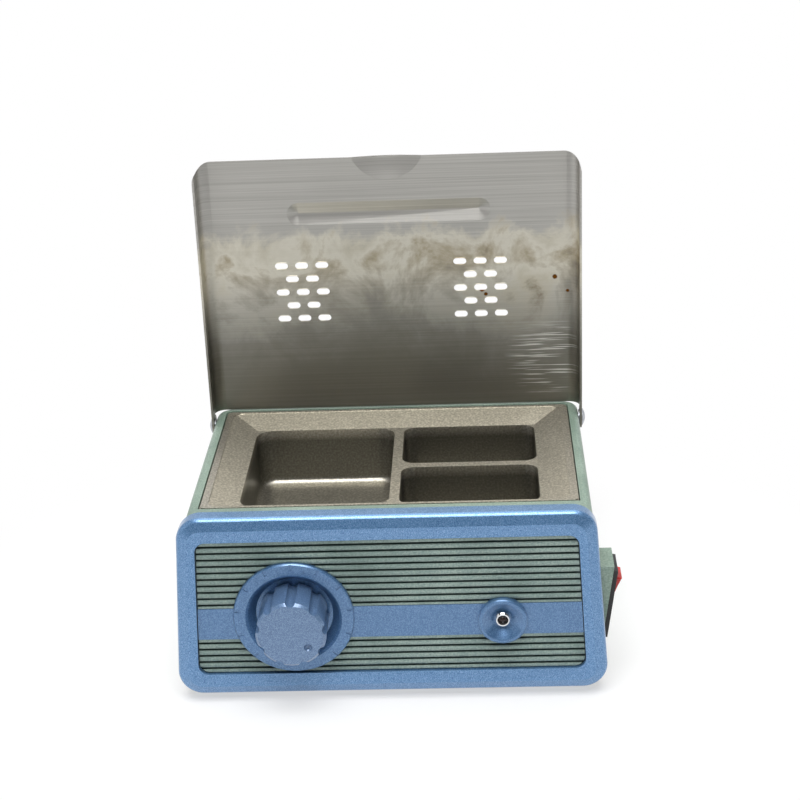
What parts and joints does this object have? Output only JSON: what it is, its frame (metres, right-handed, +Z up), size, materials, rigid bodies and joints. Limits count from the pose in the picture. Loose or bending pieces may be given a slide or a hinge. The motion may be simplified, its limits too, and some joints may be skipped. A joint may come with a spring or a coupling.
{
  "type": "dental laboratory wax heater",
  "caption": "Box-shaped electric wax heater with a framed control panel, a divided wax pot and a slotted hinged lid standing open.",
  "frame": {"origin": "on the floor, midway between the front plane and the rear face of the casing, on the centre line", "axes": "+X to the user's right, +Y to the back, +Z up"},
  "size_m": [0.162, 0.1515, 0.1703],
  "materials": {
    "green_paint": "fine textured",
    "blue_paint": "hammered satin",
    "blue_plastic": "satin",
    "knob_plastic": "satin",
    "pot_cast": "coated, satin",
    "stainless": "brushed, stained",
    "chrome_ring": "bright",
    "lamp_red": "clear, dark",
    "black_plastic": "satin",
    "rocker_red": "glossy",
    "rubber_black": "matte",
    "zinc_steel": "zinc plated",
    "plate_steel": "galvanised",
    "heater_alloy": "milled",
    "brass_nut": "plain",
    "copper_bulb": "plain",
    "fibre_pad": "woven",
    "seal_white": "matte",
    "board_green": "solder mask",
    "cream_plastic": "satin",
    "thermostat_ceramic": "matte",
    "lead_sleeve": "matte"
  },
  "bodies": {
    "base": {"housing": "green_paint", "base_plate": "plate_steel", "front_frame": "blue_paint", "control_panel": "green_paint", "dial_plate": "blue_plastic", "thermostat": "thermostat_ceramic", "thermostat_nut": "brass_nut", "capillary": "copper_bulb", "lamp_holder": "chrome_ring", "lamp_lens": "lamp_red", "lamp_board": "board_green", "wax_pot": "pot_cast", "pot_seal": "seal_white", "heating_plate": "heater_alloy", "insulation_pad": "fibre_pad", "pressure_plate": "plate_steel", "pot_studs": "zinc_steel", "stud_nuts": "zinc_steel", "thermal_cutout": "black_plastic", "terminal_block": "cream_plastic", "cord_gland": "black_plastic", "switch_housing": "green_paint", "switch_body": "black_plastic", "rocker_pin": "zinc_steel", "hinge_rivets": "zinc_steel", "hinge_washers": "zinc_steel", "rubber_feet": "rubber_black", "foot_screws": "zinc_steel", "frame_screws": "zinc_steel", "leads": "lead_sleeve"},
    "lid_body": {"lid": "stainless"},
    "knob_body": {"control_knob": "knob_plastic", "thermostat_shaft": "zinc_steel"},
    "rocker_body": {"rocker": "rocker_red"}
  },
  "joints": [
    {"name": "lid_hinge", "type": "hinge", "parent": "base", "child": "lid_body", "pos_m": [0, 0.054, 0.0621], "axis": [1, 0, 0], "range_deg": [0, 91]},
    {"name": "knob_turn", "type": "hinge", "parent": "base", "child": "knob_body", "pos_m": [-0.0343, -0.062, 0.0346], "axis": [0, -1, 0], "range_deg": [-5, 265]},
    {"name": "rocker_tip", "type": "hinge", "parent": "base", "child": "rocker_body", "pos_m": [0.07815, -0.0463, 0.03307], "axis": [0, 1, 0], "range_deg": [-16, 0]}
  ]
}
